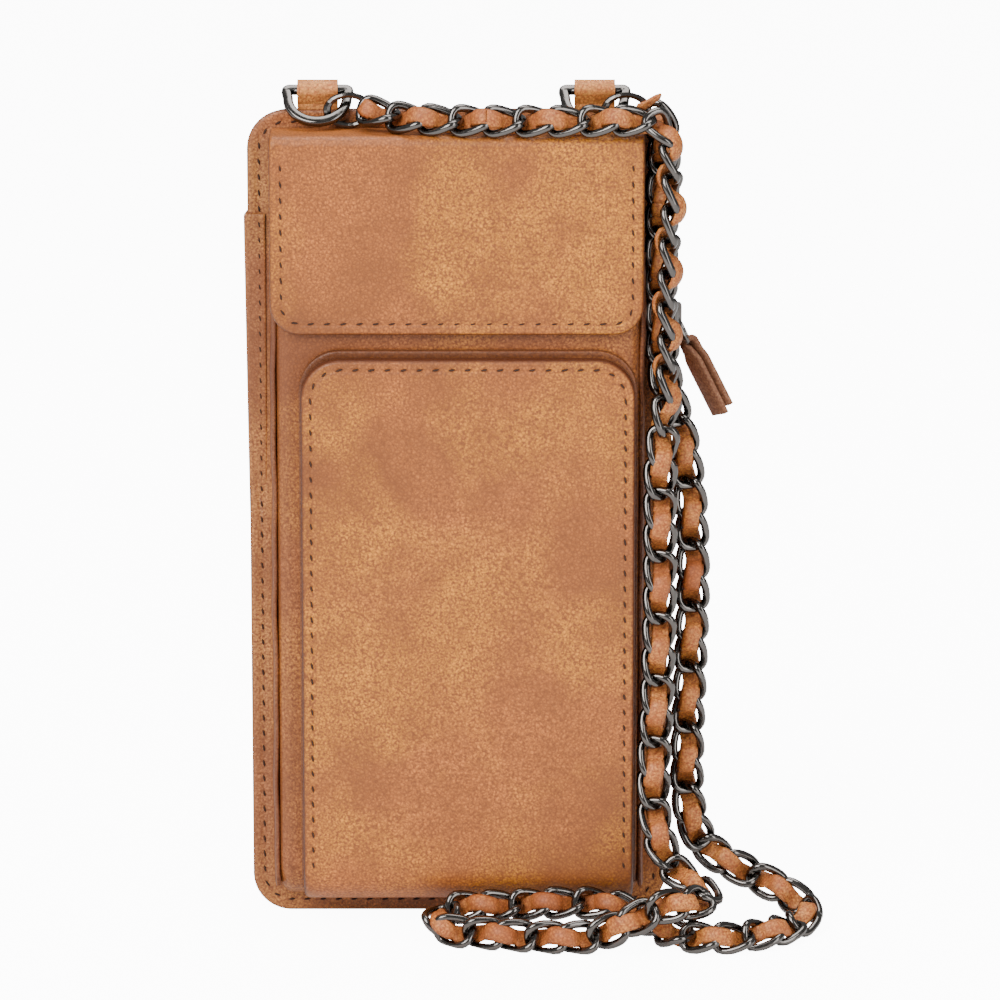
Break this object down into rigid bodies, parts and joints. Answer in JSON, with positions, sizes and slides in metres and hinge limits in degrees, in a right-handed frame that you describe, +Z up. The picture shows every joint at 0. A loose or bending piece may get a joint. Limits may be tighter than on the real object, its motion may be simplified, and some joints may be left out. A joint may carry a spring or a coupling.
{
  "type": "chain wallet",
  "caption": "Upright tan leather phone wallet with a flap pocket, a raised slip pocket, a zipped compartment and a chain strap laced with leather.",
  "frame": {"origin": "under the middle of the wallet's box, on the surface that it stands on; the strap isn't counted", "axes": "+Z up, the front with its flap faces -Y, the zip slider is on the +X side"},
  "size_m": [0.1326, 0.0505, 0.1966],
  "materials": {
    "leather": "smooth tan, soft satin",
    "suede": "raw-edged tan",
    "lining_cloth": "matt",
    "board": "matt",
    "foam": "matt",
    "zip_tape": "woven",
    "gunmetal": "dark nickel, polished",
    "laced_chain": "dark nickel links with a tan lace",
    "magnet": "plain"
  },
  "bodies": {
    "wallet": {"front_panel": "leather", "back_panel": "leather", "lower_gusset": "leather", "zip_end_tab_left": "leather", "zip_end_tab_right": "leather", "strap_tab_left": "leather", "strap_tab_right": "leather", "flap_shelf": "leather", "phone_pocket_wall": "leather", "phone_pocket_gusset_left": "leather", "phone_pocket_gusset_right": "leather", "slip_pocket_shell": "leather", "front_lining": "lining_cloth", "back_lining": "lining_cloth", "phone_pocket_lining": "lining_cloth", "slip_pocket_lining": "lining_cloth", "front_board": "board", "back_board": "board", "slip_pocket_pad": "foam", "zip_tape_front": "zip_tape", "zip_tape_back": "zip_tape", "zip_teeth_front": "gunmetal", "zip_teeth_back": "gunmetal", "chain_front_strand": "laced_chain", "chain_floor_loop": "laced_chain", "chain_rear_strand": "laced_chain", "wall_magnet_left": "magnet", "wall_magnet_right": "magnet"},
    "flap": {"flap_leather": "leather", "flap_lining": "leather", "flap_magnet_left": "magnet", "flap_magnet_right": "magnet"},
    "slider": {"zip_slider": "gunmetal", "zip_slider_inner_plate": "gunmetal"},
    "pull": {"zip_pull_ring": "gunmetal", "zip_pull_thong": "suede"},
    "ring_left": {"d_ring_left": "gunmetal", "chain_end_link_left": "gunmetal"},
    "ring_right": {"d_ring_right": "gunmetal", "chain_end_link_right": "gunmetal"}
  },
  "joints": [
    {"name": "flap_hinge", "type": "hinge", "parent": "wallet", "child": "flap", "pos_m": [-0.00745, -0.0108, 0.18335], "axis": [-1, 0, 0], "range_deg": [0, 140]},
    {"name": "ring_left_swing", "type": "hinge", "parent": "wallet", "child": "ring_left", "pos_m": [-0.03955, 0.005, 0.1942], "axis": [-1, 0, 0], "range_deg": [0, 150]},
    {"name": "ring_right_swing", "type": "hinge", "parent": "wallet", "child": "ring_right", "pos_m": [0.02365, 0.005, 0.1942], "axis": [-1, 0, 0], "range_deg": [0, 150]},
    {"name": "slider_travel", "type": "slide", "parent": "wallet", "child": "slider", "axis": [0, 0, 1], "range_m": [0, 0.036]},
    {"name": "pull_swing", "type": "hinge", "parent": "slider", "child": "pull", "pos_m": [0.04205, 0.0083, 0.142], "axis": [0, -1, 0], "range_deg": [-9, 140]}
  ]
}
